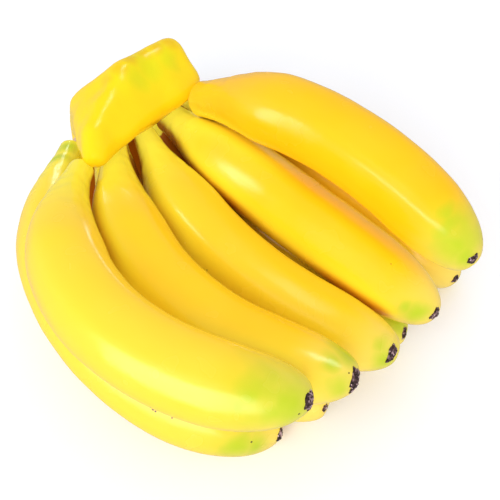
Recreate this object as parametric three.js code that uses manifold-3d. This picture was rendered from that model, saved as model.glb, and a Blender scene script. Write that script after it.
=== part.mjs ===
// A bunch of nine moulded decorative bananas on a padded crown, lying on a table.
// Millimetres, +Z up, the table is the plane z = 0. +X runs from the crown to the finger
// tips and +Y runs across the bunch. The finished group is centred on x = y = 0.

import * as THREE from 'three';
import { mergeVertices } from 'three/addons/utils/BufferGeometryUtils.js';
import Module from 'manifold-3d';

const manifold = await Module();
manifold.setup();

// ------------------------------------------------------------------ driving dimensions

const BODY_RADIUS = 17.4;
const STEM_ROUNDING = 2.2;        // how far the stem's end is rounded over
const TIP_RADIUS = 4.1;           // of the flat blossom end
const FLARE_END = 0.37;           // share of the length where the stem has widened to the body
const TAPER_START = 0.74;         // share of the length where the body starts to narrow
const TAPER_BLUNTNESS = [2.6, 0.62]; // powers of the taper's curve; lower ones narrow sooner
const RIDGES = 5;                 // soft lengthwise ridges
const RIDGE_HEIGHT = 0.02;        // as a share of the radius
const RIDGE_TURN = Math.PI / RIDGES; // puts a hollow, and not a ridge, outside the bend
const RIDGE_FADE = 0.3;           // share of the length over which they rise at either end
const BEND_START = 0.03;          // shares of the length between which a finger bends
const BEND_END = 0.95;
const BEND_EASING = 0.45;         // 0 bends evenly, 1 eases in and out
const GAP = 0.42;                 // clearance between neighbouring pieces

const PEG_RADIUS = 1.2;
const PEG_IN_STEM = 14;           // from the stem's end into the finger
const PEG_IN_CROWN = 16;          // from the stem's end into the crown
const HOLE_CLEARANCE = 0.3;

const DAB_SIDE = new THREE.Vector3(0.5, -0.4, 0.77); // the side of the tips that they lie on
const DAB_THICKNESS = 1.3;
const DAB_LUMPINESS = 0.13;       // of its outline, as a share of its radius

const RINGS = 22;                 // rings of vertices along a finger
const RING_CROWDING = 0.6;        // 0 spaces them evenly, 1 crowds them towards the ends
const SIDES = 20;                 // vertices around a finger
const CORNER_SIDES = 14;          // vertices around each rounded corner of the crown
const PEG_SIDES = 10;

// Each finger: the middle of its stem's end, the compass heading and the upward pitch with
// which it leaves the crown, the lean of its bend (0 bends straight down, 90 bends towards
// +Y), how far it bends in all, how late along its length the bend comes (0 is even), its
// length along the centre line, and the radius of its stem's end. The dark dab on its tip
// lies back from the tip's end, and has a radius along the finger and one across it.
// Angles are in degrees.
const UPPER_ROW = [
  {
    name: 'upper_1', seam: [-67.4, -45.5, 70.8], heading: -51, pitch: 17, lean: 78,
    bend: 104, late: 0.3, length: 196, stem: 6.2, dab: { back: 2, along: 3.8, across: 4.3 },
  },
  {
    name: 'upper_2', seam: [-76.7, -19.3, 57.9], heading: -37, pitch: 10, lean: 76,
    bend: 81, late: 0.5, length: 193, stem: 6.2, dab: { back: 2, along: 3.6, across: 6.2 },
  },
  {
    name: 'upper_3', seam: [-80.5, 1.5, 49.3], heading: -23, pitch: 6, lean: 65,
    bend: 62, late: 0.5, length: 184, stem: 6.2, dab: { back: 4.5, along: 3.2, across: 4.6 },
  },
  {
    name: 'upper_4', seam: [-89, 24.5, 39.3], heading: -9, pitch: 17, lean: 33,
    bend: 57, late: 0.7, length: 189, stem: 8.4, dab: { back: 2.6, along: 3.3, across: 3.3 },
  },
  {
    name: 'upper_5', seam: [-66.5, 29.5, 65.2], heading: 1.8, pitch: 32.2, lean: 5,
    bend: 70, late: 0.56, length: 177.4, stem: 9.2, dab: { back: 4, along: 2.6, across: 2.8 },
  },
];
const LOWER_ROW = [
  {
    name: 'lower_1', seam: [-110.3, -25.2, 35.3], heading: -49, pitch: 15.2, lean: 60.4,
    bend: 111, late: 0.46, length: 232, stem: 6.2, dab: { back: 3.4, along: 2.4, across: 3.4 },
  },
  {
    name: 'lower_2', seam: [-102.4, -7, 34.1], heading: -30, pitch: -6, lean: 87,
    bend: 51.6, late: 0.4, length: 195.5, stem: 6.2, dab: { back: 0.8, along: 1.8, across: 2 },
  },
  {
    name: 'lower_3', seam: [-102.9, 28.7, 24.5], heading: -26, pitch: -1, lean: 84,
    bend: 60, late: 0.5, length: 196, stem: 6.2, dab: { back: 1.5, along: 1.8, across: 3.2 },
  },
  {
    name: 'lower_4', seam: [-104.2, 48.9, 27.9], heading: 0, pitch: 16, lean: 20,
    bend: 61, late: 0.6, length: 194, stem: 6.2, dab: { back: 4.5, along: 2.2, across: 2.4 },
  },
];

// The crown is a thick slab that leans over the stems. Its corners are rounded (x, y, z,
// rounding radius) and it is three rounded hulls in one: the slab, a lobe that hangs between
// the stems of upper_1 and upper_2, and a toe that stands on the table under the stems.
const CROWN_CORNERS = {
  topFrontRight: [-78, 30, 70, 7],
  chin: [-77, 26, 67, 5.5],
  topBackRight: [-92, 31, 79, 7],
  topBackLeft: [-90, 0, 85, 7],
  topFrontLeft: [-71.6, -33.4, 82.3, 5.5],
  frontEdge: [-68, -12, 77, 4.5],
  frontEdgeRight: [-73, 23, 72, 4.5],
  left: [-103, -17, 66, 7],
  leftSide: [-120, -11, 33, 6],
  kneeLeft: [-113, -8, 22, 6],
  kneeRight: [-112, 50, 22, 6],
  lobeTip: [-64, -39, 78, 5.3],
  lobeUnder: [-79, -33, 70, 5.3],
  footFrontLeft: [-99, -24, 4, 6],
  footFrontRight: [-99, 56, 4, 6],
  footBackRight: [-134, 50, 4, 6],
  footBackLeft: [-134, 6, 4, 6],
};
const CROWN_HULLS = {
  slab: [
    'topFrontRight', 'chin', 'topBackRight', 'topBackLeft', 'topFrontLeft', 'frontEdge',
    'frontEdgeRight', 'left', 'leftSide', 'kneeLeft', 'kneeRight', 'footBackRight', 'footBackLeft',
  ],
  lobe: ['topBackLeft', 'topFrontLeft', 'left', 'lobeTip', 'lobeUnder'],
  toe: [
    'leftSide', 'kneeLeft', 'kneeRight',
    'footFrontLeft', 'footFrontRight', 'footBackRight', 'footBackLeft',
  ],
};

// ------------------------------------------------------------------ materials

const materials = {
  skin: new THREE.MeshStandardMaterial({ color: '#ffd21e', roughness: 0.28, metalness: 0 }),
  crown: new THREE.MeshStandardMaterial({ color: '#fbdc2a', roughness: 0.32, metalness: 0 }),
  dab: new THREE.MeshStandardMaterial({ color: '#3d2b2a', roughness: 0.6, metalness: 0 }),
  peg: new THREE.MeshStandardMaterial({ color: '#dcb594', roughness: 0.6, metalness: 0 }),
};

// ------------------------------------------------------------------ helpers

const smooth = (x) => {
  const c = THREE.MathUtils.clamp(x, 0, 1);
  return c * c * (3 - 2 * c);
};

function toManifold(geometry) {
  const bare = geometry.clone();
  bare.deleteAttribute('normal');
  bare.deleteAttribute('uv');
  const merged = mergeVertices(bare, 1e-4);
  return new manifold.Manifold(new manifold.Mesh({
    numProp: 3,
    vertProperties: Float32Array.from(merged.attributes.position.array),
    triVerts: Uint32Array.from(merged.index.array),
  }));
}

function toGeometry(solid) {
  const mesh = solid.getMesh();
  const geometry = new THREE.BufferGeometry();
  const position = new Float32Array(mesh.vertProperties);
  geometry.setAttribute('position', new THREE.BufferAttribute(position, 3));
  geometry.setIndex(new THREE.BufferAttribute(new Uint32Array(mesh.triVerts), 1));
  return geometry;
}

// A closed skin over rings of points, with a flat fan at each end.
function loft(rings) {
  const sides = rings[0].length;
  const points = rings.flat();
  const index = [];
  for (let i = 0; i < rings.length - 1; i += 1) {
    for (let j = 0; j < sides; j += 1) {
      const a = i * sides + j;
      const b = i * sides + (j + 1) % sides;
      index.push(a, b, b + sides, a, b + sides, a + sides);
    }
  }
  for (const [ring, first] of [[rings[0], 0], [rings.at(-1), (rings.length - 1) * sides]]) {
    const middle = new THREE.Vector3();
    ring.forEach((point) => middle.addScaledVector(point, 1 / sides));
    const centre = points.push(middle) - 1;
    for (let j = 0; j < sides; j += 1) {
      const a = first + j;
      const b = first + (j + 1) % sides;
      index.push(...(first === 0 ? [b, a, centre] : [a, b, centre]));
    }
  }
  const geometry = new THREE.BufferGeometry().setFromPoints(points);
  geometry.setIndex(index);
  return geometry;
}

// A cylinder between two points.
function rod(from, to, radius, sides) {
  const length = from.distanceTo(to);
  const geometry = new THREE.CylinderGeometry(radius, radius, length, sides);
  const along = to.clone().sub(from).normalize();
  const turn = new THREE.Quaternion().setFromUnitVectors(new THREE.Vector3(0, 1, 0), along);
  geometry.applyQuaternion(turn);
  const middle = from.clone().add(to).multiplyScalar(0.5);
  geometry.translate(middle.x, middle.y, middle.z);
  return geometry;
}

// The part of a solid that is above the table.
function cutAtTable(solid) {
  const width = 800;
  const depth = 100;
  const under = new THREE.BoxGeometry(width, width, depth).translate(0, 0, -depth / 2);
  return solid.subtract(toManifold(under));
}

// ------------------------------------------------------------------ a finger

// Directions at the seam: forward along the finger, the side that it bends towards, and
// the normal of the plane that the centre line lies in.
function fingerAxes(finger) {
  const heading = THREE.MathUtils.degToRad(finger.heading);
  const pitch = THREE.MathUtils.degToRad(finger.pitch);
  const lean = THREE.MathUtils.degToRad(finger.lean);
  const level = new THREE.Vector3(Math.cos(heading), Math.sin(heading), 0);
  const forward = level.multiplyScalar(Math.cos(pitch)).setZ(Math.sin(pitch));
  const side = new THREE.Vector3(-Math.sin(heading), Math.cos(heading), 0);
  const down = forward.clone().cross(side).negate();
  const inward = down.multiplyScalar(Math.cos(lean)).addScaledVector(side, Math.sin(lean));
  return { forward, inward, normal: forward.clone().cross(inward) };
}

// Share of the whole bend that is done at the share t of the length.
function bendDone(t, late) {
  const u = THREE.MathUtils.clamp((t - BEND_START) / (BEND_END - BEND_START), 0, 1);
  return THREE.MathUtils.lerp(u, smooth(u), BEND_EASING) - late * u * (1 - u);
}

// The radius flares out of the stem and closes round the tip.
function radiusAt(t, stem) {
  const flare = THREE.MathUtils.lerp(stem, BODY_RADIUS, smooth(t / FLARE_END));
  const taper = THREE.MathUtils.clamp((t - TAPER_START) / (1 - TAPER_START), 0, 1);
  const [onset, close] = TAPER_BLUNTNESS;
  return flare * THREE.MathUtils.lerp(TIP_RADIUS / BODY_RADIUS, 1, (1 - taper ** onset) ** close);
}

// How steeply the skin closes in towards the tip, as an angle from the centre line.
function slopeAt(t, { length, stem }) {
  const step = 0.005;
  const narrowing = radiusAt(t - step, stem) - radiusAt(Math.min(t + step, 1), stem);
  return Math.atan2(narrowing, 2 * step * length);
}

// Places along the centre line, with the tangent and the outward side at each.
function centreLine(finger, shares) {
  const { forward, inward, normal } = fingerAxes(finger);
  const { length } = finger;
  const bend = THREE.MathUtils.degToRad(finger.bend);
  const seam = new THREE.Vector3(...finger.seam);
  const steps = 400;
  const walk = [{ t: 0, point: seam.clone() }];
  for (let i = 0; i < steps; i += 1) {
    const angle = bend * bendDone((i + 0.5) / steps, finger.late);
    const point = walk[i].point.clone()
      .addScaledVector(forward, Math.cos(angle) * length / steps)
      .addScaledVector(inward, Math.sin(angle) * length / steps);
    walk.push({ t: (i + 1) / steps, point });
  }
  return shares.map((t) => {
    const angle = t < 0 ? 0 : bend * bendDone(t, finger.late);
    const tangent = forward.clone().multiplyScalar(Math.cos(angle))
      .addScaledVector(inward, Math.sin(angle));
    const outward = tangent.clone().cross(normal);
    const point = t < 0
      ? seam.clone().addScaledVector(forward, t * length)
      : walk[Math.round(t * steps)].point.clone();
    return { t, point, tangent, outward, normal };
  });
}

// The rings of a finger's skin. grow moves the skin outwards by that much all over.
function fingerRings(finger, grow) {
  const { length, stem } = finger;
  const shares = [-grow / length, (STEM_ROUNDING - grow) / length];
  for (let i = 1; i < RINGS; i += 1) {
    const u = i / (RINGS - 1);
    shares.push(THREE.MathUtils.lerp(u, 0.5 - 0.5 * Math.cos(Math.PI * u), RING_CROWDING));
  }
  return centreLine(finger, shares).map(({ t, point, tangent, outward, normal }, i) => {
    const ring = [];
    const raised = smooth(Math.min(t, 1 - t) / RIDGE_FADE) * RIDGE_HEIGHT;
    const round = radiusAt(Math.max(t, 0), stem) - (i === 0 ? STEM_ROUNDING : 0);
    const slope = slopeAt(Math.max(t, 0), finger);
    point.addScaledVector(tangent, grow * Math.sin(slope));
    for (let j = 0; j < SIDES; j += 1) {
      const phi = (2 * Math.PI * j) / SIDES;
      const swell = 1 + raised * Math.cos(RIDGES * (phi - RIDGE_TURN));
      const radius = round * swell + grow * Math.cos(slope);
      ring.push(point.clone()
        .addScaledVector(outward, Math.cos(phi) * radius)
        .addScaledVector(normal, -Math.sin(phi) * radius));
    }
    return ring;
  });
}

function pegEnds(finger) {
  const { forward } = fingerAxes(finger);
  const end = new THREE.Vector3(...finger.seam);
  return {
    inCrown: end.clone().addScaledVector(forward, -PEG_IN_CROWN),
    inStem: end.clone().addScaledVector(forward, PEG_IN_STEM),
  };
}

function pegHole(finger) {
  const { forward } = fingerAxes(finger);
  const { inCrown, inStem } = pegEnds(finger);
  const back = inCrown.addScaledVector(forward, -HOLE_CLEARANCE);
  const front = inStem.addScaledVector(forward, HOLE_CLEARANCE);
  return toManifold(rod(back, front, PEG_RADIUS + HOLE_CLEARANCE, PEG_SIDES));
}

// Where a finger is pressed against one of the others, it is flattened to their skin.
function makeFinger(finger, others) {
  let solid = toManifold(loft(fingerRings(finger, 0))).subtract(pegHole(finger));
  for (const other of others) {
    solid = solid.subtract(toManifold(loft(fingerRings(other, GAP))));
  }
  return toGeometry(cutAtTable(solid));
}

function makePeg(finger) {
  const { inCrown, inStem } = pegEnds(finger);
  return rod(inCrown, inStem, PEG_RADIUS, PEG_SIDES);
}

// A closed blob round the origin with an uneven outline in the xy plane, about 1 in radius.
function unevenBlob(number) {
  const blob = new THREE.SphereGeometry(1, 12, 8);
  const position = blob.attributes.position;
  for (let i = 0; i < position.count; i += 1) {
    const p = new THREE.Vector3().fromBufferAttribute(position, i);
    const bearing = Math.atan2(p.y, p.x);
    const lump = Math.sin(3 * bearing + number) + 0.6 * Math.sin(5 * bearing + 2 * number);
    p.multiplyScalar(1 + DAB_LUMPINESS * lump);
    position.setXYZ(i, p.x, p.y, p.z);
  }
  return blob;
}

// The dark dab is an uneven patch of even thickness, laid on the skin beside the tip's end.
function makeDab(finger, number) {
  const { back, along, across } = finger.dab;
  const share = 1 - back / finger.length;
  const [{ point, tangent }] = centreLine(finger, [share]);
  const outward = DAB_SIDE.clone().projectOnPlane(tangent).normalize();
  const middle = point.addScaledVector(outward, radiusAt(share, finger.stem));
  const place = new THREE.Matrix4().makeBasis(
    tangent.clone().cross(outward).multiplyScalar(across),
    tangent.clone().multiplyScalar(along),
    outward.multiplyScalar(along),
  ).setPosition(middle);
  const blob = toManifold(unevenBlob(number).applyMatrix4(place));
  const skin = toManifold(loft(fingerRings(finger, GAP)));
  const film = toManifold(loft(fingerRings(finger, GAP + DAB_THICKNESS)));
  return toGeometry(cutAtTable(blob.intersect(film).subtract(skin)));
}

// ------------------------------------------------------------------ the crown

// The rounded hull of some of the crown's corners.
function roundedHull(names) {
  return manifold.Manifold.hull(names.map((name) => {
    const [x, y, z, radius] = CROWN_CORNERS[name];
    const ball = new THREE.SphereGeometry(radius, CORNER_SIDES, CORNER_SIDES / 2);
    return toManifold(ball.translate(x, y, z));
  }));
}

function makeCrown(fingers) {
  const { slab, lobe, toe } = CROWN_HULLS;
  let solid = roundedHull(slab).add(roundedHull(lobe)).add(roundedHull(toe));
  for (const finger of fingers) {
    solid = solid.subtract(toManifold(loft(fingerRings(finger, GAP)))).subtract(pegHole(finger));
  }
  return toGeometry(cutAtTable(solid));
}

// ------------------------------------------------------------------ assembly

function addPiece(group, name, geometry, material) {
  const mesh = new THREE.Mesh(geometry, material);
  mesh.name = name;
  group.add(mesh);
}

// Moves the group so that its box is centred on x = y = 0.
function centreOnTable(group) {
  const centre = new THREE.Box3().setFromObject(group, true).getCenter(new THREE.Vector3());
  group.position.set(-centre.x, -centre.y, 0);
}

const bunch = new THREE.Group();
const fingers = [...UPPER_ROW, ...LOWER_ROW];
addPiece(bunch, 'crown', makeCrown(fingers), materials.crown);
fingers.forEach((finger, number) => {
  addPiece(bunch, `finger_${finger.name}`, makeFinger(finger, fingers.slice(0, number)), materials.skin);
  addPiece(bunch, `dab_${finger.name}`, makeDab(finger, number), materials.dab);
  addPiece(bunch, `peg_${finger.name}`, makePeg(finger), materials.peg);
});
centreOnTable(bunch);

export default bunch;
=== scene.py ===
"""The looks of a decorative bunch of nine moulded bananas on a padded crown.

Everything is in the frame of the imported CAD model: metres, +X from the crown to the banana
tips, +Y across the bunch, +Z up, with the table at z = 0. Shapes are worked out in
millimetres, from the same named values as the CAD model, and turned into metres only when a
mesh is made.
"""

import math

import bmesh
import bpy
import numpy as np
from mathutils import Matrix, Vector, noise
from mathutils.bvhtree import BVHTree


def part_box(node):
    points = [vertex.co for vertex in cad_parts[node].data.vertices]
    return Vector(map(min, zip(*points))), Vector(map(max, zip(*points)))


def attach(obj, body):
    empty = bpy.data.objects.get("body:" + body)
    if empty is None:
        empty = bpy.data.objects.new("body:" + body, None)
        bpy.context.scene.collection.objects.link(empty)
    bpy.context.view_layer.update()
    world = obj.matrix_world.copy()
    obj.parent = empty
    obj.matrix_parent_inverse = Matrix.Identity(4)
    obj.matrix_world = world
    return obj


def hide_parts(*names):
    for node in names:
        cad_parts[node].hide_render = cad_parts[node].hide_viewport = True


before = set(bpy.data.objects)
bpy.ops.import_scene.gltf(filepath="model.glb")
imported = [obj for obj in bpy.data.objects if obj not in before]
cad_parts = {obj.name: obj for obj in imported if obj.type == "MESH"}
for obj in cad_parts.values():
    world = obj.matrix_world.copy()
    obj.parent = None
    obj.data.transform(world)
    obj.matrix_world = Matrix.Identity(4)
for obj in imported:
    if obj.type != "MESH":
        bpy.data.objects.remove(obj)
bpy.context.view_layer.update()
MM = 0.001

# ---------------------------------------------------------------- shape

# As in the CAD model, but for one stem and the crown, which are named where they come.
BODY_RADIUS = 17.4
STEM_ROUNDING = 2.2  # how far the stem's end is rounded over
TIP_RADIUS = 4.1
FLARE_END = 0.37  # share of the length where the stem has widened to the body
TAPER_START = 0.74  # share of the length where the body starts to narrow
TAPER_BLUNTNESS = (2.6, 0.62)
RIDGES = 5
RIDGE_HEIGHT = 0.02  # as a share of the radius
RIDGE_TURN = math.pi / RIDGES  # puts a hollow, and not a ridge, outside the bend
RIDGE_FADE = 0.3  # share of the length, at either end, in which the ridges fade
BEND_START, BEND_END, BEND_EASING = 0.03, 0.95, 0.45
GAP = 0.42  # clearance between neighbouring pieces

PEG_RADIUS = 1.2
PEG_IN_STEM = 14
PEG_IN_CROWN = 16
HOLE_CLEARANCE = 0.3

DAB_SIDE = np.array([0.5, -0.4, 0.77])  # the side of the tips that the dark dabs lie on
DAB_THICKNESS = 1.3
DAB_LUMPINESS = 0.13
DAB_SINK = 0.25  # how far its hidden side is under the skin
DAB_GRAIN = 1.05  # the size of its grains

SKIN_LUMPS = (16, 0.22)  # size and height of a banana's slow unevenness
FINE_LUMPS = (5.5, 0.06, 0.28)  # size, height, and what is added to the height at the stem

# Each finger: the middle of its stem's end, the compass heading and the upward pitch with
# which it leaves the crown, the lean of its bend (0 bends straight down, 90 towards +Y), how
# far it bends in all, how late the bend comes, its length, the radius of its stem's end, and
# the dark dab on its tip: back from the tip's end, a radius along the finger and one across.
# The stem of lower_2 is 6.2 in the CAD model. Here it is thicker, to fill the gap between
# upper_2 and upper_3.
FINGERS = {
    "upper_1": dict(seam=(-67.4, -45.5, 70.8), heading=-51, pitch=17, lean=78,
                    bend=104, late=0.3, length=196, stem=6.2, dab=(2, 3.8, 4.3)),
    "upper_2": dict(seam=(-76.7, -19.3, 57.9), heading=-37, pitch=10, lean=76,
                    bend=81, late=0.5, length=193, stem=6.2, dab=(2, 3.6, 6.2)),
    "upper_3": dict(seam=(-80.5, 1.5, 49.3), heading=-23, pitch=6, lean=65,
                    bend=62, late=0.5, length=184, stem=6.2, dab=(4.5, 3.2, 4.6)),
    "upper_4": dict(seam=(-89, 24.5, 39.3), heading=-9, pitch=17, lean=33,
                    bend=57, late=0.7, length=189, stem=8.4, dab=(2.6, 3.3, 3.3)),
    "upper_5": dict(seam=(-66.5, 29.5, 65.2), heading=1.8, pitch=32.2, lean=5,
                    bend=70, late=0.56, length=177.4, stem=9.2, dab=(4, 2.6, 2.8)),
    "lower_1": dict(seam=(-110.3, -25.2, 35.3), heading=-49, pitch=15.2, lean=60.4,
                    bend=111, late=0.46, length=232, stem=6.2, dab=(3.4, 2.4, 3.4)),
    "lower_2": dict(seam=(-102.4, -7, 34.1), heading=-30, pitch=-6, lean=87,
                    bend=51.6, late=0.4, length=195.5, stem=9.5, dab=(0.8, 1.8, 2)),
    "lower_3": dict(seam=(-102.9, 28.7, 24.5), heading=-26, pitch=-1, lean=84,
                    bend=60, late=0.5, length=196, stem=6.2, dab=(1.5, 1.8, 3.2)),
    "lower_4": dict(seam=(-104.2, 48.9, 27.9), heading=0, pitch=16, lean=20,
                    bend=61, late=0.6, length=194, stem=6.2, dab=(4.5, 2.2, 2.4)),
}

# The crown's rounded corners (x, y, z, radius) and the three hulls that it is made of, with
# the CAD model's names. Here the lobe is fuller, by two corners and a moved edge, and the
# foot reaches 8 to 10 mm further forward, so that no floor shows between the stems.
CROWN_CORNERS = {
    "topFrontRight": (-78, 30, 70, 7),
    "chin": (-77, 26, 67, 5.5),
    "topBackRight": (-92, 31, 79, 7),
    "topBackLeft": (-90, 0, 85, 7),
    "topFrontLeft": (-71.6, -33.4, 82.3, 5.5),
    "frontEdge": (-67.4, -12, 76.8, 5),
    "frontEdgeRight": (-73, 23, 72, 4.5),
    "left": (-103, -17, 66, 7),
    "leftSide": (-120, -11, 33, 6),
    "kneeLeft": (-113, -8, 22, 6),
    "kneeRight": (-112, 50, 22, 6),
    "lobeTip": (-64, -39, 78, 5.3),
    "lobeUnder": (-79, -33, 70, 5.3),
    "lobeRight": (-68, -30, 80, 5),
    "hem": (-68.5, -21, 79, 5),
    "footFrontLeft": (-91, -31, 4, 6),
    "footFrontRight": (-89, 50, 4, 6),
    "footBackRight": (-134, 50, 4, 6),
    "footBackLeft": (-134, 6, 4, 6),
}
CROWN_HULLS = (
    ("topFrontRight", "chin", "topBackRight", "topBackLeft", "topFrontLeft", "frontEdge",
     "frontEdgeRight", "left", "leftSide", "kneeLeft", "kneeRight", "footBackRight",
     "footBackLeft"),
    ("topBackLeft", "topFrontLeft", "left", "lobeTip", "lobeUnder", "lobeRight", "hem",
     "frontEdge"),
    ("leftSide", "kneeLeft", "kneeRight", "footFrontLeft", "footFrontRight",
     "footBackRight", "footBackLeft"),
)

# ---------------------------------------------------------------- how fine the meshes are

RINGS = 150  # rings of vertices along a finger
SIDES = 84  # vertices around a finger
CROWN_VOXEL = 1.5
CROWN_SOFTENING = 20  # rounds of smoothing
CROWN_PUFF = 0.6  # how far the whole skin is pushed out
CROWN_LUMPS = ((17, 0.8), (7, 0.15))  # size and height of its unevenness
DAB_RINGS, DAB_SIDES = 26, 72
WRINKLE_STRETCH = 0.3  # below 1, the wrinkles are longer than wide

# ---------------------------------------------------------------- the camera

CAMERA_BEARING = math.radians(-44)  # from +X, seen from the middle of the bunch
CAMERA_RISE = math.radians(54)
CAMERA_DISTANCE = 470
CAMERA_AIM_HEIGHT = 28
PHOTO_SIDE = 500  # pixels
FOCAL_PIXELS = 940
SENSOR = 36
GLINT_DISTANCE = 0.9  # metres from the bunch to the small windows that it mirrors

# ---------------------------------------------------------------- tints of the skins

# How far the colour of a banana goes towards a tint: the usual share, then the shares of the
# bananas that differ. The pale tint is painted sheen on the bananas lit most from the front,
# the neck tint is painted light, lemon on the neck, and the tint below is painted shade, amber
# where the skin faces down on a neighbour.
TINTS = {
    "ripe": (0, {"upper_5": 0.4}),
    "green": (0, {"upper_3": 0.4, "upper_2": 0.1, "lower_1": 0.1}),
    "pale": (0, {"upper_1": 0.8, "upper_2": 0.2, "upper_3": 0.3, "lower_1": 1,
                 "lower_2": 0.5, "lower_3": 0.5, "lower_4": 0.5}),
    "neck_painted_light": (0.9, {"upper_5": 0}),
    "amber_shade_below": (0.7, {"upper_5": 0}),
}
SNUG_RANGE = 5  # the closeness of a neighbour falls to a third over this distance

# Brown shade is painted in the deep gaps between the stems, where shade falls: on the lower
# row, where the upper row is close to it, on the flanks of the inner necks, and on the front of
# the crown's foot. Each pair of values is where the painted shade is full and where it ends.
UNDER_ROW = ("lower_2", "lower_3", "lower_4")
COVER_DISTANCE = (12, 24)
COVER_SHARE = (0.35, 0.65)  # of the length
INNER_NECKS = ("upper_2", "upper_3", "upper_4")
FLANK_SHARE = (0.14, 0.28)  # of the length
FOOT_HEIGHT = (50, 64)  # along Z
FOOT_FRONT = (-100, -108)  # along X

# ---------------------------------------------------------------- marks on the skin

# A mark is the pixel of the picture that its middle is seen at, and then its radius on the
# skin in millimetres.
LIME_PATCHES = [
    (290, 405, 26), (262, 399, 26), (272, 413, 18), (240, 406, 15), (460, 242, 24),
    (450, 228, 18), (466, 256, 14), (444, 213, 12), (416, 312, 13), (407, 306, 9),
    (388, 358, 13), (384, 346, 9), (398, 326, 15), (345, 352, 13), (338, 388, 12),
    (331, 360, 9), (234, 446, 18), (254, 447, 14), (66, 147, 9), (58, 158, 8),
]
SPECKS = [
    (130, 397, 0.55), (150.5, 407.5, 0.6), (153, 409.5, 0.75), (155.5, 411.5, 0.6),
    (172, 418, 0.5), (251.5, 442, 0.65), (299, 414, 0.6), (482.5, 239, 0.5),
    (482.5, 250, 0.5), (349, 373, 0.5), (207, 270, 0.35), (391, 264, 0.35),
]
CROWN_LIME_PATCHES = [(150, 68, 20), (138, 78, 18), (168, 60, 14)]
# Painted shade: old gold along the crown's top rim, where its skin turns away from the light.
CROWN_RIM_SHADE_PATCHES = [
    (172, 44, 6), (158, 48, 6), (144, 53, 6), (130, 59, 6), (118, 68, 7), (106, 80, 6),
]
# The soft swellings and hollows of the crown have a lift in millimetres as well.
CROWN_FORMS = [
    (102, 86, 7, -1.6), (147, 58, 7, -0.8), (182, 64, 6, -1.2), (84, 92, 8, 0.9),
    (128, 84, 4.5, 0.8), (150, 92, 12, -0.9), (180, 100, 7, 1.2), (97, 158, 8, 1.3),
    (128, 120, 10, -0.7), (140, 133, 6, 0.9), (118, 138, 6, -1.0),
]

# ---------------------------------------------------------------- helpers


def smooth(x):
    """An eased step from 0 to 1 as x goes from 0 to 1."""
    c = np.clip(x, 0, 1)
    return c * c * (3 - 2 * c)


def fade(x, full, end):
    """1 as far as full, easing to 0 at end."""
    return 1 - smooth((x - full) / (end - full))


def lerp(a, b, share):
    """a at share 0, going evenly to b at share 1."""
    return a + (b - a) * share


def finger_axes(finger):
    """Forward at the seam, the side it bends towards, and the normal of its bend's plane."""
    heading, pitch, lean = (math.radians(finger[k]) for k in ("heading", "pitch", "lean"))
    forward = np.array([math.cos(heading) * math.cos(pitch),
                        math.sin(heading) * math.cos(pitch), math.sin(pitch)])
    side = np.array([-math.sin(heading), math.cos(heading), 0])
    down = -np.cross(forward, side)
    inward = down * math.cos(lean) + side * math.sin(lean)
    return forward, inward, np.cross(forward, inward)


def bend_done(t, late):
    """Share of the whole bend that is done at the share t of the length."""
    u = np.clip((t - BEND_START) / (BEND_END - BEND_START), 0, 1)
    return lerp(u, smooth(u), BEND_EASING) - late * u * (1 - u)


def radius_at(t, stem):
    """The skin's distance from the centre line at the share t of the length."""
    flare = lerp(stem, BODY_RADIUS, smooth(t / FLARE_END))
    taper = np.clip((t - TAPER_START) / (1 - TAPER_START), 0, 1)
    onset, close = TAPER_BLUNTNESS
    return flare * lerp(TIP_RADIUS / BODY_RADIUS, 1, (1 - taper**onset) ** close)


def centre_line(finger, shares):
    """Points, tangents and outward sides along a finger, and its bend's normal."""
    forward, inward, normal = finger_axes(finger)
    bend, length = math.radians(finger["bend"]), finger["length"]
    steps = 800
    angle = bend * bend_done((np.arange(steps) + 0.5) / steps, finger["late"])
    walk = np.outer(np.cos(angle), forward) + np.outer(np.sin(angle), inward)
    walk = np.vstack([np.zeros(3), np.cumsum(walk, axis=0)]) * length / steps
    grid = np.linspace(0, 1, steps + 1)
    points = np.stack([np.interp(shares, grid, walk[:, k]) for k in range(3)], axis=1)
    angle = bend * bend_done(shares, finger["late"])
    tangents = np.outer(np.cos(angle), forward) + np.outer(np.sin(angle), inward)
    return points + finger["seam"], tangents, np.cross(tangents, normal), normal


def centring():
    """How far the CAD model was moved to centre its box: a peg's own middle tells."""
    name = "upper_1"
    low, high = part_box(f"peg_{name}")
    forward, _, _ = finger_axes(FINGERS[name])
    middle = np.array(FINGERS[name]["seam"]) + forward * (PEG_IN_STEM - PEG_IN_CROWN) / 2
    return (np.array(low) + np.array(high)) / 2 / MM - middle


CENTRING = centring()


def camera_back():
    """The direction from the bunch to the camera."""
    level = math.cos(CAMERA_RISE)
    return Vector((math.cos(CAMERA_BEARING) * level, math.sin(CAMERA_BEARING) * level,
                   math.sin(CAMERA_RISE)))


def camera_aim():
    """The point that the camera and the lamps face, in metres."""
    return Vector((CENTRING[0], CENTRING[1], CAMERA_AIM_HEIGHT)) * MM


def tree_of(obj):
    """What the rays and the dabs find an object's skin with."""
    return BVHTree.FromPolygons([v.co for v in obj.data.vertices],
                                [p.vertices for p in obj.data.polygons])


def spot_on_skin(x, y, trees):
    """The place, in metres, where a pixel of the picture falls on the nearest skin."""
    back = camera_back()
    right = Vector((-math.sin(CAMERA_BEARING), math.cos(CAMERA_BEARING), 0))
    up = back.cross(right)
    half = PHOTO_SIDE / 2
    ray = right * (x - half) - up * (y - half) - back * FOCAL_PIXELS
    start = camera_aim() + back * CAMERA_DISTANCE * MM
    hits = [tree.ray_cast(start, ray.normalized()) for tree in trees]
    hits = [(hit[3], hit[0]) for hit in hits if hit[0] is not None]
    if not hits:
        raise ValueError(f"pixel {x}, {y} doesn't fall on a skin")
    return min(hits, key=lambda hit: hit[0])[1]


def spots_on(trees, marks):
    """The middles and radii of marks, in metres."""
    return [(spot_on_skin(x, y, trees), radius * MM) for x, y, radius in marks]


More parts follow.
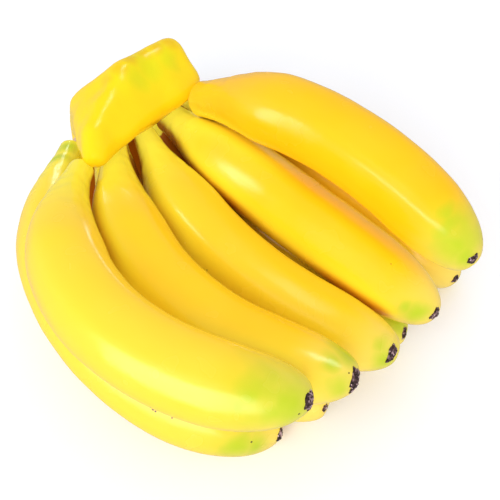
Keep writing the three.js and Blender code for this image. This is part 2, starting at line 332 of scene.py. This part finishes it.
def make_object(name, points, faces):
    """A mesh object from points in millimetres, before centring."""
    mesh = bpy.data.meshes.new(name)
    mesh.from_pydata(((points + CENTRING) * MM).tolist(), [], faces)
    mesh.update()
    mesh.shade_smooth()
    obj = bpy.data.objects.new(name, mesh)
    bpy.context.scene.collection.objects.link(obj)
    return obj


def store(obj, name, values):
    """Keeps a number or a vector for each vertex, for the materials to read."""
    kind, field = ("FLOAT_VECTOR", "vector") if values.ndim == 2 else ("FLOAT", "value")
    attribute = obj.data.attributes.new(name, kind, "POINT")
    attribute.data.foreach_set(field, np.asarray(values, np.float32).ravel())


def tube_faces(rings, sides):
    """Quads between rings of vertices, then a fan to a pole at each end."""
    faces = []
    for i in range(rings - 1):
        for j in range(sides):
            a, b = i * sides + j, i * sides + (j + 1) % sides
            faces.append((a, b, b + sides, a + sides))
    first_pole, last_pole = rings * sides, rings * sides + 1
    last = (rings - 1) * sides
    for j in range(sides):
        k = (j + 1) % sides
        faces.append((k, j, first_pole))
        faces.append((last + j, last + k, last_pole))
    return faces


# ---------------------------------------------------------------- fingers


def ridge_shape(phi):
    """Lengthwise ridges round a section, a little narrower than the hollows between them."""
    turned = RIDGES * (phi - RIDGE_TURN)
    return np.cos(turned) + 0.18 * np.cos(2 * turned)


def skin_reach(t, phi, stem):
    """The skin's distance from the centre line at a share of the length and an angle."""
    raised = smooth(np.minimum(t, 1 - t) / RIDGE_FADE) * RIDGE_HEIGHT
    return radius_at(t, stem) * (1 + raised * ridge_shape(phi))


def finger_profile(length, stem):
    """(distance along, distance out) from the peg's hole, round the stem, to the tip."""
    hole = PEG_RADIUS + HOLE_CLEARANCE
    mouth = hole + 0.6
    start = [(PEG_IN_STEM, hole * 0.2), (PEG_IN_STEM, hole), (0.7, hole), (0.1, mouth)]
    bend = np.linspace(0, math.pi / 2, 9)[1:]
    ring = stem - mouth
    start += [(STEM_ROUNDING * (1 - math.cos(a)), mouth + ring * math.sin(a)) for a in bend]

    t = 1 - (1 - np.linspace(0, 1, 4000)) ** 1.6
    t = t[t * length > STEM_ROUNDING]
    along, out = t * length, radius_at(t, stem)
    travelled = np.concatenate([[0], np.cumsum(np.hypot(np.diff(along), np.diff(out)))])
    even = np.linspace(0, travelled[-1], RINGS)[1:]
    body = list(zip(np.interp(even, travelled, along), np.interp(even, travelled, out)))
    end = [(length + 0.25 * (1 - share**2), TIP_RADIUS * share) for share in (0.85, 0.6, 0.3)]
    return np.array(start + body + end)


def distance_to_finger(points, other):
    """How far points are outside another finger's skin, and the way out of it."""
    shares = np.linspace(0, 1, 240)
    line, tangents, outward, normal = centre_line(other, shares)
    nearest = np.argmin(((points[:, None, :] - line[None, :, :]) ** 2).sum(2), axis=1)
    away = points - line[nearest]
    past_end = (away * tangents[nearest]).sum(1)
    phi = np.arctan2(-(away @ normal), (away * outward[nearest]).sum(1))
    distance = np.linalg.norm(away, axis=1)
    reach = skin_reach(shares[nearest], phi, other["stem"])
    gap = distance - reach
    gap[(nearest == 0) & (past_end < 0)] = 1e3
    return gap, away / np.maximum(distance, 1e-6)[:, None]


def skin_lumps(points, t, number):
    """Slow unevenness of a moulded skin, stronger and finer near the stem, in millimetres."""
    near_stem = fade(t, 0.05, 0.35)
    slow_size, slow_height = SKIN_LUMPS
    fine_size, fine_height, stem_height = FINE_LUMPS
    lumps = np.empty(len(points))
    for i, p in enumerate(points):
        p = Vector(p) + Vector((0, 0, 57 * number))
        slow = noise.noise(p / slow_size)
        fine = noise.noise(p / fine_size)
        lumps[i] = slow_height * slow + (fine_height + stem_height * near_stem[i]) * fine
    return lumps * smooth(t * 12) * smooth((1 - t) * 20)


def distance_to_upper_row(points):
    """How far points are from the nearest banana of the upper row."""
    uppers = [finger for name, finger in FINGERS.items() if name.startswith("upper")]
    return np.min([distance_to_finger(points, upper)[0] for upper in uppers], axis=0)


def store_tints(obj, name, points, t, clearance):
    """What the skin's colour depends on at each vertex. The tube's two poles come last."""
    snug = np.exp(-np.clip(clearance, 0, None) / SNUG_RANGE)
    deep, between = np.zeros(len(points)), np.zeros(len(points))
    # Painted shade: where the brown goes on the lower row under the upper row, and on the
    # flanks of the inner necks.
    if name in UNDER_ROW:
        covered = fade(distance_to_upper_row(points), *COVER_DISTANCE)
        deep = covered * fade(t, *COVER_SHARE)
    if name in INNER_NECKS:
        between = fade(t, *FLANK_SHARE)
    store(obj, "along", np.append(t, [0, 1]))
    store(obj, "snug", np.append(snug, [0, 0]))
    store(obj, "deep", np.append(deep, [0, 0]))
    store(obj, "between", np.append(between, [0, 0]))
    for tint, (usual, own) in TINTS.items():
        store(obj, tint, np.full(len(points) + 2, own.get(name, usual)))


def store_wrap(obj, length, t, phi):
    """The space that the wrinkles are made in, shortened so that they run lengthwise."""
    unrolled = WRINKLE_STRETCH * length
    wrap = np.stack([BODY_RADIUS * np.cos(phi), BODY_RADIUS * np.sin(phi), t * unrolled],
                    axis=1)
    store(obj, "wrap", np.vstack([wrap, [[0, 0, 0], [0, 0, unrolled]]]))


def make_finger(name, number):
    """A banana that gives way where an earlier one would cross it."""
    finger = FINGERS[name]
    length, stem = finger["length"], finger["stem"]
    profile = finger_profile(length, stem)
    t = np.clip(profile[:, 0] / length, 0, 1)
    line, tangents, outward, normal = centre_line(finger, t)
    line += tangents * (profile[:, 0] - t * length)[:, None]
    phi = 2 * np.pi * np.arange(SIDES) / SIDES

    t_all = np.repeat(t, SIDES)
    phi_all = np.tile(phi, len(t))
    swell = skin_reach(t_all, phi_all, stem) / radius_at(t_all, stem)
    out = np.repeat(profile[:, 1], SIDES) * swell
    direction = (np.repeat(outward, SIDES, axis=0) * np.cos(phi_all)[:, None]
                 - normal[None, :] * np.sin(phi_all)[:, None])
    points = np.repeat(line, SIDES, axis=0) + direction * out[:, None]
    points += direction * skin_lumps(points, t_all, number)[:, None]

    clearance = np.full(len(points), 1e3)
    names = list(FINGERS)
    for other in names:
        if other == name:
            continue
        gap, way_out = distance_to_finger(points, FINGERS[other])
        if names.index(other) < number:
            push = np.clip(GAP - gap, 0, None)
            points += way_out * push[:, None]
        clearance = np.minimum(clearance, gap)
    points[:, 2] = np.maximum(points[:, 2], 0)

    poles = np.array([line[0], line[-1] + tangents[-1] * 0.05])
    obj = make_object(f"banana_{name}", np.vstack([points, poles]),
                      tube_faces(len(t), SIDES))
    store_tints(obj, name, points, t_all, clearance)
    store_wrap(obj, length, t_all, phi_all)
    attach(obj, "root")
    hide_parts(f"finger_{name}")
    return obj


# ---------------------------------------------------------------- the dark dabs


def dab_outline(theta, number):
    """How far a dab reaches in one direction, as a share of its radius there."""
    lump = math.sin(3 * theta + number) + 0.6 * math.sin(5 * theta + 2 * number)
    edge = Vector((math.cos(theta) * 2.2, math.sin(theta) * 2.2, number * 7.3))
    ragged = 0.16 * noise.noise(edge) + 0.1 * noise.noise(edge * 2.7)
    return 1 + DAB_LUMPINESS * lump + ragged


def make_dab(name, number, skin):
    """A granular dark patch that follows the skin beside the tip's end."""
    finger = FINGERS[name]
    back, along, across = finger["dab"]
    share = 1 - back / finger["length"]
    line, tangents, _, _ = centre_line(finger, np.array([share]))
    tangent = tangents[0]
    outward = DAB_SIDE - tangent * (DAB_SIDE @ tangent)
    outward /= np.linalg.norm(outward)
    sideways = np.cross(tangent, outward)
    middle = line[0] + outward * radius_at(share, finger["stem"])

    points, floor_points = [], []
    for i in range(1, DAB_RINGS + 1):
        r = i / DAB_RINGS
        for j in range(DAB_SIDES):
            theta = 2 * math.pi * j / DAB_SIDES
            reach = r * dab_outline(theta, number)
            spot = (middle + sideways * (across * reach * math.cos(theta))
                    + tangent * (along * reach * math.sin(theta)))
            seat, normal, _, _ = skin.find_nearest(Vector((spot + CENTRING) * MM))
            seat = np.array(seat) / MM - CENTRING
            normal = np.array(normal)
            dome = (1 - r**4) ** 0.5
            cells, _ = noise.voronoi(Vector(seat) / DAB_GRAIN + Vector((0, 0, 3.1 * number)))
            grain = 0.55 - 0.75 * cells[0]
            height = dome * (DAB_THICKNESS * 0.6 + grain) - 0.1
            points.append(seat + normal * height)
            floor_points.append(seat - normal * DAB_SINK)
    seat, normal, _, _ = skin.find_nearest(Vector((middle + CENTRING) * MM))
    seat, normal = np.array(seat) / MM - CENTRING, np.array(normal)
    poles = [seat + normal * DAB_THICKNESS * 0.6, seat - normal * DAB_SINK]

    # The two layers join at their rims, as one tube from pole to pole.
    top = np.array(points).reshape(DAB_RINGS, DAB_SIDES, 3)
    under = np.array(floor_points).reshape(DAB_RINGS, DAB_SIDES, 3)[::-1]
    rings = np.concatenate([top, under]).reshape(-1, 3)
    faces = tube_faces(2 * DAB_RINGS, DAB_SIDES)
    obj = make_object(f"tip_dab_{name}", np.vstack([rings, poles]), faces)
    make_outward(obj)
    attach(obj, "root")
    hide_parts(f"dab_{name}")
    return obj


def make_outward(obj):
    """Turns a closed mesh's faces outwards."""
    bm = bmesh.new()
    bm.from_mesh(obj.data)
    bmesh.ops.recalc_face_normals(bm, faces=bm.faces)
    bm.to_mesh(obj.data)
    bm.free()


# ---------------------------------------------------------------- the crown


def rounded_hull(corners):
    """The convex hull of balls at the crown's corners."""
    bm = bmesh.new()
    for name in corners:
        x, y, z, radius = CROWN_CORNERS[name]
        place = Matrix.Translation((Vector((x, y, z)) + Vector(CENTRING)) * MM)
        bmesh.ops.create_icosphere(bm, subdivisions=3, radius=radius * MM, matrix=place)
    hull = bmesh.ops.convex_hull(bm, input=bm.verts)
    spare = [v for v in hull["geom_interior"] if isinstance(v, bmesh.types.BMVert)]
    bmesh.ops.delete(bm, geom=spare, context="VERTS")
    mesh = bpy.data.meshes.new("hull")
    bm.to_mesh(mesh)
    bm.free()
    obj = bpy.data.objects.new("hull", mesh)
    bpy.context.scene.collection.objects.link(obj)
    return obj


def apply_modifiers(obj):
    """Replaces an object's mesh by what its modifiers make of it."""
    depsgraph = bpy.context.evaluated_depsgraph_get()
    mesh = bpy.data.meshes.new_from_object(obj.evaluated_get(depsgraph))
    obj.modifiers.clear()
    obj.data = mesh


def crown_blank():
    """The rounded hulls joined and softened into one form."""
    crown, *others = [rounded_hull(corners) for corners in CROWN_HULLS]
    crown.name = "padded_crown"
    for hull in others:
        join = crown.modifiers.new("join", "BOOLEAN")
        join.operation = "UNION"
        join.object = hull
    remesh = crown.modifiers.new("remesh", "REMESH")
    remesh.mode = "VOXEL"
    remesh.voxel_size = CROWN_VOXEL * MM
    soften = crown.modifiers.new("soften", "SMOOTH")
    soften.factor = 0.5
    soften.iterations = CROWN_SOFTENING
    apply_modifiers(crown)
    for hull in others:
        bpy.data.objects.remove(hull)
    return crown


def swell(crown):
    """Pushes the crown's skin out, unevenly and with its own swellings and hollows."""
    mesh = crown.data
    mesh.update()
    normals = [v.normal.copy() for v in mesh.vertices]
    tree = tree_of(crown)
    forms = [(spot_on_skin(x, y, [tree]) / MM, *form) for x, y, *form in CROWN_FORMS]
    for vertex, normal in zip(mesh.vertices, normals):
        p = vertex.co / MM
        lift = CROWN_PUFF
        for size, height in CROWN_LUMPS:
            lift += height * noise.noise(p / size)
        for spot, radius, height in forms:
            lift += height * math.exp(-((p - spot).length / radius) ** 2)
        vertex.co += normal * lift * MM
        vertex.co.z = max(vertex.co.z, 0)


def make_crown(bananas):
    """One soft moulded form, hollowed where the stems enter it."""
    crown = crown_blank()
    swell(crown)
    for banana in bananas.values():
        cut = crown.modifiers.new("seat", "BOOLEAN")
        cut.operation = "DIFFERENCE"
        cut.object = banana
    apply_modifiers(crown)
    points = np.array([v.co for v in crown.data.vertices]) / MM - CENTRING
    # Painted shade: brown on the front of the foot, low between the stems.
    foot_front_shade = fade(points[:, 2], *FOOT_HEIGHT) * fade(points[:, 0], *FOOT_FRONT)
    store(crown, "foot_front_shade", foot_front_shade)
    crown.data.shade_smooth()
    crown.data.set_sharp_from_angle(angle=math.radians(50))
    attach(crown, "root")
    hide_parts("crown")
    return crown


# ---------------------------------------------------------------- materials


class Nodes:
    """Short names for adding and linking shader nodes."""

    def __init__(self, name):
        self.material = bpy.data.materials.new(name)
        self.material.use_nodes = True
        self.tree = self.material.node_tree
        self.shader = self.tree.nodes["Principled BSDF"]

    def add(self, kind, **settings):
        node = self.tree.nodes.new(kind)
        for key, value in settings.items():
            setattr(node, key, value)
        return node

    def link(self, source, target):
        self.tree.links.new(source, target)

    def attribute(self, name, output="Fac"):
        return self.add("ShaderNodeAttribute", attribute_name=name).outputs[output]

    def noise(self, vector, scale, detail=2.0):
        node = self.add("ShaderNodeTexNoise")
        node.inputs["Scale"].default_value = scale
        node.inputs["Detail"].default_value = detail
        self.link(vector, node.inputs["Vector"])
        return node.outputs["Fac"]

    def ramp(self, value, stops):
        """A colour between the stops, which are (position, colour) from low to high."""
        node = self.add("ShaderNodeValToRGB")
        ramp = node.color_ramp
        ramp.elements[0].position, ramp.elements[0].color = stops[0]
        ramp.elements[1].position, ramp.elements[1].color = stops[-1]
        for position, colour in stops[1:-1]:
            ramp.elements.new(position).color = colour
        self.link(value, node.inputs["Fac"])
        return node.outputs["Color"]

    def curve(self, value, low, high, to_low=0.0, to_high=1.0):
        """Eases from to_low at low to to_high at high, which may be the smaller one."""
        node = self.add("ShaderNodeMapRange", interpolation_type="SMOOTHSTEP")
        for key, number in zip(("From Min", "From Max", "To Min", "To Max"),
                               (low, high, to_low, to_high)):
            node.inputs[key].default_value = number
        self.link(value, node.inputs["Value"])
        return node.outputs["Result"]

    def math(self, operation, a, b):
        node = self.add("ShaderNodeMath", operation=operation)
        for socket, value in zip(node.inputs, (a, b)):
            if isinstance(value, (int, float)):
                socket.default_value = value
            else:
                self.link(value, socket)
        return node.outputs["Value"]

    def mix(self, share, a, b):
        """Colour a, going to colour b as the share goes to 1."""
        node = self.add("ShaderNodeMix", data_type="RGBA")
        for socket, value in zip((node.inputs["Factor"], node.inputs["A"], node.inputs["B"]),
                                 (share, a, b)):
            if isinstance(value, (int, float, tuple)):
                socket.default_value = value
            else:
                self.link(value, socket)
        return node.outputs["Result"]

    def bump(self, height, distance, strength, normal=None):
        node = self.add("ShaderNodeBump")
        node.inputs["Distance"].default_value = distance
        node.inputs["Strength"].default_value = strength
        self.link(height, node.inputs["Height"])
        if normal is not None:
            self.link(normal, node.inputs["Normal"])
        return node.outputs["Normal"]

    def wobbled(self, place, scale, reach):
        """The place moved about by up to reach metres or so, to make outlines uneven."""
        node = self.add("ShaderNodeTexNoise")
        node.inputs["Scale"].default_value = scale
        self.link(place, node.inputs["Vector"])
        move = self.add("ShaderNodeVectorMath", operation="MULTIPLY_ADD")
        self.link(node.outputs["Color"], move.inputs[0])
        move.inputs[1].default_value = (2 * reach,) * 3
        centred = self.add("ShaderNodeVectorMath", operation="SUBTRACT")
        self.link(place, centred.inputs[0])
        centred.inputs[1].default_value = (reach,) * 3
        self.link(centred.outputs[0], move.inputs[2])
        return move.outputs[0]

    def near_spots(self, place, spots, core=0.0):
        """1 at the middle of the nearest spot and 0 outside it. A spot is (place, radius)."""
        total = 0.0
        for middle, radius in spots:
            node = self.add("ShaderNodeVectorMath", operation="DISTANCE")
            self.link(place, node.inputs[0])
            node.inputs[1].default_value = middle
            near = self.curve(node.outputs["Value"], radius, radius * core)
            total = self.math("MAXIMUM", near, total)
        return total


def rgb(red, green, blue):
    """A colour given in screen values from 0 to 255, as the linear colour that nodes take."""
    def linear(v):
        v /= 255
        return v / 12.92 if v <= 0.04045 else ((v + 0.055) / 1.055) ** 2.4
    return (linear(red), linear(green), linear(blue), 1.0)


YELLOW = rgb(255, 207, 20)
GOLD = rgb(255, 200, 12)
# painted light on the necks and near neighbours
PAINTED_LIGHT_LEMON = rgb(255, 236, 56)
LIME = rgb(188, 203, 26)
PALE_LIME = rgb(218, 220, 24)
CROWN_YELLOW = rgb(255, 213, 20)
CROWN_GOLD = rgb(250, 214, 22)
# painted sheen on the bananas lit most from the front
SHEEN_CREAM = rgb(255, 214, 58)
# painted sheen near the tips
TIP_SHEEN = rgb(246, 220, 104)
# painted shade on the crown's top rim
RIM_SHADE_GOLD = rgb(226, 176, 30)
UNRIPE = rgb(226, 210, 26)
RIPE = rgb(255, 182, 10)
# painted shade where the skin faces down on a neighbour
SHADE_AMBER = rgb(214, 98, 2)
# painted shade in the deep gaps
SHADE_BROWN = rgb(164, 84, 3)
SPECK = rgb(52, 34, 16)
# dark grains, and pale ones that are painted glints
DAB_GRAINS_AND_GLINTS = [
    (0.0, rgb(40, 24, 24)), (0.5, rgb(72, 46, 46)), (0.7, rgb(112, 82, 84)),
    (0.92, rgb(196, 164, 168)),
]
PEG_DARK = rgb(206, 166, 132)
PEG_PALE = rgb(236, 206, 176)
FLOOR_DARK = (0.93, 0.945, 1.0, 1)  # already linear
FLOOR_PALE = (0.94, 0.955, 1.0, 1)


def skin_colour(n, place, lime_spots, specks):
    """The bananas' colour, from the widest tint to the smallest mark, with painted light, sheen
    and shade.
    """
    along = n.attribute("along")
    snug = n.attribute("snug")
    base = n.mix(n.curve(n.noise(place, 22), 0.35, 0.65), YELLOW, GOLD)
    # Of these tints, the pale one is painted sheen on the bananas lit most from the front.
    for tint, colour in (("ripe", RIPE), ("green", UNRIPE), ("pale", SHEEN_CREAM)):
        base = n.mix(n.attribute(tint), base, colour)
    # Painted sheen: paler towards the tips.
    base = n.mix(n.curve(along, 0.82, 0.97, 0.0, 0.7), base, TIP_SHEEN)

    # Painted light: lemon brightens the necks, and the skin near a neighbour, against the shade
    # that falls there.
    neck = n.math("MULTIPLY", n.curve(along, 0.34, 0.1), n.attribute("neck_painted_light"))
    base = n.mix(neck, base, PAINTED_LIGHT_LEMON)
    base = n.mix(n.curve(snug, 0.0, 0.35, 0.0, 0.6), base, PAINTED_LIGHT_LEMON)

    # Painted shade: amber and then brown where the skin faces down on a neighbour.
    direction = n.add("ShaderNodeSeparateXYZ")
    n.link(n.add("ShaderNodeTexCoord").outputs["Normal"], direction.inputs["Vector"])
    upward = direction.outputs["Z"]
    under = n.math("MULTIPLY", n.curve(upward, 0.3, -0.2), n.curve(snug, 0.25, 0.6))
    base = n.mix(n.math("MULTIPLY", under, n.attribute("amber_shade_below")), base, SHADE_AMBER)
    # Painted shade: brown where the skin presses down on a neighbour.
    pressed_shade = n.math("MULTIPLY", n.curve(upward, 0.2, -0.1), n.curve(snug, 0.8, 0.94, 0.0, 0.9))
    base = n.mix(pressed_shade, base, SHADE_BROWN)

    mottle = n.curve(n.noise(place, 50), 0.3, 0.6, 0.6, 1.0)
    lime = n.near_spots(n.wobbled(place, 60, 0.005), lime_spots)
    base = n.mix(n.math("MULTIPLY", lime, mottle), base, LIME)

    # Painted shade: brown on the lower row where the upper row covers it, and on the flanks of
    # the inner necks.
    base = n.mix(n.attribute("deep"), base, SHADE_BROWN)
    flank_shade = n.math("MULTIPLY", n.curve(upward, 0.65, 0.2, 0.0, 0.9), n.attribute("between"))
    base = n.mix(flank_shade, base, SHADE_BROWN)
    return n.mix(n.math("MULTIPLY", n.near_spots(place, specks, 0.6), 0.95), base, SPECK)


def skin_material(lime_spots, specks):
    """A glossy moulded skin, wrinkled near the stem and dull where a neighbour is close."""
    n = Nodes("banana_skin")
    place = n.add("ShaderNodeTexCoord").outputs["Object"]
    n.link(skin_colour(n, place, lime_spots, specks), n.shader.inputs["Base Color"])

    near_stem = n.curve(n.attribute("along"), 0.36, 0.05, 0.1, 1.0)
    wrinkles = n.math("MULTIPLY", n.noise(n.attribute("wrap", "Vector"), 0.14), near_stem)
    normal = n.bump(wrinkles, 0.0014, 0.3)
    normal = n.bump(n.noise(place, 900), 0.0001, 0.12, normal)
    n.link(normal, n.shader.inputs["Normal"])
    n.link(n.curve(n.noise(place, 60), 0.3, 0.7, 0.2, 0.28), n.shader.inputs["Roughness"])
    gloss = n.curve(n.attribute("snug"), 0.3, 0.7, 0.45, 0.08)
    n.link(gloss, n.shader.inputs["Specular IOR Level"])
    return n.material


def crown_material(lime_spots, rim_shade_spots):
    """A smooth yellow skin with patches of lime, and painted shade: old gold on the top rim,
    brown on the foot.
    """
    n = Nodes("crown_skin")
    place = n.add("ShaderNodeTexCoord").outputs["Object"]
    base = n.mix(n.curve(n.noise(place, 18), 0.4, 0.66), CROWN_YELLOW, CROWN_GOLD)
    lime = n.near_spots(n.wobbled(place, 60, 0.003), lime_spots)
    base = n.mix(n.math("MULTIPLY", lime, 0.8), base, PALE_LIME)
    # Painted shade along the top rim.
    gold = n.near_spots(n.wobbled(place, 60, 0.004), rim_shade_spots)
    base = n.mix(n.math("MULTIPLY", gold, 0.6), base, RIM_SHADE_GOLD)
    # Painted shade: brown on the front of the foot.
    base = n.mix(n.attribute("foot_front_shade"), base, SHADE_BROWN)
    n.link(base, n.shader.inputs["Base Color"])
    normal = n.bump(n.noise(place, 150, detail=3), 0.0008, 0.3)
    n.link(normal, n.shader.inputs["Normal"])
    n.shader.inputs["Roughness"].default_value = 0.26
    n.shader.inputs["Specular IOR Level"].default_value = 0.18
    return n.material


def dab_material():
    """Dark grains, a few of them pale as painted glints."""
    n = Nodes("dark_dab")
    place = n.add("ShaderNodeTexCoord").outputs["Object"]
    cells = n.add("ShaderNodeTexVoronoi")
    cells.inputs["Scale"].default_value = 1100
    n.link(place, cells.inputs["Vector"])
    speckle = n.add("ShaderNodeSeparateColor")
    n.link(cells.outputs["Color"], speckle.inputs["Color"])
    n.link(n.ramp(speckle.outputs["Red"], DAB_GRAINS_AND_GLINTS), n.shader.inputs["Base Color"])
    n.link(n.bump(cells.outputs["Distance"], 0.0007, 0.9), n.shader.inputs["Normal"])
    n.shader.inputs["Roughness"].default_value = 0.5
    return n.material


def peg_material():
    """Bare tan wood."""
    n = Nodes("bare_peg")
    place = n.add("ShaderNodeTexCoord").outputs["Object"]
    grain = n.noise(place, 500, detail=3)
    n.link(n.mix(grain, PEG_DARK, PEG_PALE), n.shader.inputs["Base Color"])
    n.link(n.bump(grain, 0.0002, 0.5), n.shader.inputs["Normal"])
    n.shader.inputs["Roughness"].default_value = 0.6
    return n.material


def floor_material():
    """Nearly white, with a touch of blue against the yellow light that the bunch throws."""
    n = Nodes("pale_floor")
    place = n.add("ShaderNodeTexCoord").outputs["Object"]
    base = n.mix(n.noise(place, 40), FLOOR_DARK, FLOOR_PALE)
    n.link(base, n.shader.inputs["Base Color"])
    n.shader.inputs["Roughness"].default_value = 0.9
    return n.material


# ---------------------------------------------------------------- floor, light and camera


def make_floor():
    """The table, which the skins don't mirror."""
    half, below = 3.0, -0.00005  # metres, just clear of what rests on the table
    mesh = bpy.data.meshes.new("floor")
    corners = [(-half, -half, below), (half, -half, below), (half, half, below),
               (-half, half, below)]
    mesh.from_pydata(corners, [], [(0, 1, 2, 3)])
    floor = bpy.data.objects.new("floor", mesh)
    bpy.context.scene.collection.objects.link(floor)
    floor.data.materials.append(floor_material())
    floor.visible_glossy = False


def add_softbox(name, bearing, rise, distance, size, brightness, seen_as):
    """An area light that faces the bunch. brightness is its radiance, so size adds light.

    bearing and rise are in degrees, from +X and from level. It is seen as "shade" alone, to
    light evenly, or as "shine" alone, to be mirrored.
    """
    light = bpy.data.lights.new(name, "AREA")
    light.shape = "RECTANGLE"
    light.size, light.size_y = size
    light.energy = brightness * math.pi * size[0] * size[1]
    b, r = math.radians(bearing), math.radians(rise)
    away = Vector((math.cos(b) * math.cos(r), math.sin(b) * math.cos(r), math.sin(r)))
    obj = bpy.data.objects.new(name, light)
    obj.location = camera_aim() + away * distance
    obj.rotation_euler = away.to_track_quat("Z", "Y").to_euler()
    obj.visible_glossy = seen_as != "shade"
    obj.visible_diffuse = seen_as != "shine"
    bpy.context.scene.collection.objects.link(obj)
    return obj


def add_glint(name, bearing, rise, size, brightness, pieces):
    """A window that is mirrored in some of the pieces alone."""
    light = add_softbox(name, bearing, rise, GLINT_DISTANCE, size, brightness, "shine")
    mirrors = bpy.data.collections.new(name)
    for piece in pieces:
        mirrors.objects.link(piece)
    light.light_linking.receiver_collection = mirrors


def make_lights(bananas, crown):
    """Two even lamps for the shade, and windows where the photograph has highlights."""
    add_softbox("fill", -58, 42, 2.0, (1.8, 1.6), 2.6, "shade")
    add_softbox("left_fill", -150, 24, 1.6, (1.2, 1.0), 0.8, "shade")
    first, second, third, fourth, fifth = (bananas[f"upper_{n}"] for n in range(1, 6))
    low = [bananas[f"lower_{n}"] for n in range(1, 5)]
    add_glint("window", -137, 36, (0.22, 0.3), 8.0, [third, fourth])
    add_glint("low_window", -128, 4, (0.24, 0.66), 5.5, [fifth])
    add_glint("front_panel", -60, 16, (1.5, 0.8), 4.8, [first, *low])
    add_glint("front_line", -58, 26, (1.2, 0.08), 8.0, [fifth])
    add_glint("right_window", 45, 42, (0.2, 0.5), 7.0, [second])
    add_glint("top_glow", 66, 70, (0.3, 0.3), 2.5, [third, fourth])
    add_glint("neck_glow", 165, 4, (0.5, 0.14), 6.0, [second, third, fourth])
    add_glint("neck_streak", 146, 9, (0.1, 0.16), 8.0, [second, third, low[0]])
    add_glint("left_streak", 118, -8, (0.08, 0.4), 6.0, [first])
    add_glint("ridge_glow", 126, 55, (0.2, 0.24), 16.0, [crown])


def make_world():
    """White all round for the shade; for the shine, bright near the horizon and dim above."""
    world = bpy.data.worlds.new("studio")
    world.use_nodes = True
    nodes, links = world.node_tree.nodes, world.node_tree.links
    background = nodes["Background"]
    background.inputs["Color"].default_value = (1.0, 1.0, 1.0, 1.0)
    direction = nodes.new("ShaderNodeSeparateXYZ")
    links.new(nodes.new("ShaderNodeTexCoord").outputs["Generated"], direction.inputs[0])
    shine = nodes.new("ShaderNodeMapRange")
    shine.inputs["From Min"].default_value = 0.15
    shine.inputs["From Max"].default_value = 0.55
    shine.inputs["To Min"].default_value = 0.45
    shine.inputs["To Max"].default_value = 0.15
    links.new(direction.outputs["Z"], shine.inputs["Value"])
    strength = nodes.new("ShaderNodeMix")
    strength.inputs["A"].default_value = 0.86
    links.new(nodes.new("ShaderNodeLightPath").outputs["Is Glossy Ray"],
              strength.inputs["Factor"])
    links.new(shine.outputs["Result"], strength.inputs["B"])
    links.new(strength.outputs["Result"], background.inputs["Strength"])
    bpy.context.scene.world = world


def make_camera():
    """The photograph's own view."""
    back = camera_back()
    data = bpy.data.cameras.new("camera")
    data.sensor_width = SENSOR
    data.lens = SENSOR * FOCAL_PIXELS / PHOTO_SIDE
    camera = bpy.data.objects.new("camera", data)
    camera.location = camera_aim() + back * CAMERA_DISTANCE * MM
    camera.rotation_euler = back.to_track_quat("Z", "Y").to_euler()
    bpy.context.scene.collection.objects.link(camera)
    bpy.context.scene.camera = camera


# ---------------------------------------------------------------- the scene

bananas = {name: make_finger(name, number) for number, name in enumerate(FINGERS)}
trees = {name: tree_of(banana) for name, banana in bananas.items()}
skin = skin_material(spots_on(trees.values(), LIME_PATCHES), spots_on(trees.values(), SPECKS))
dark, bare = dab_material(), peg_material()
for number, (name, banana) in enumerate(bananas.items()):
    banana.data.materials.append(skin)
    make_dab(name, number, trees[name]).data.materials.append(dark)
    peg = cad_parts[f"peg_{name}"]
    peg.data.materials.clear()
    peg.data.materials.append(bare)
crown = make_crown(bananas)
# Diffuse light passes the crown by, as the necks below it are bright in the photograph.
crown.visible_diffuse = False
crown_tree = tree_of(crown)
crown.data.materials.append(crown_material(spots_on([crown_tree], CROWN_LIME_PATCHES),
                                           spots_on([crown_tree], CROWN_RIM_SHADE_PATCHES)))

make_floor()
make_lights(bananas, crown)
make_world()
make_camera()
bpy.context.scene.view_settings.view_transform = "Standard"
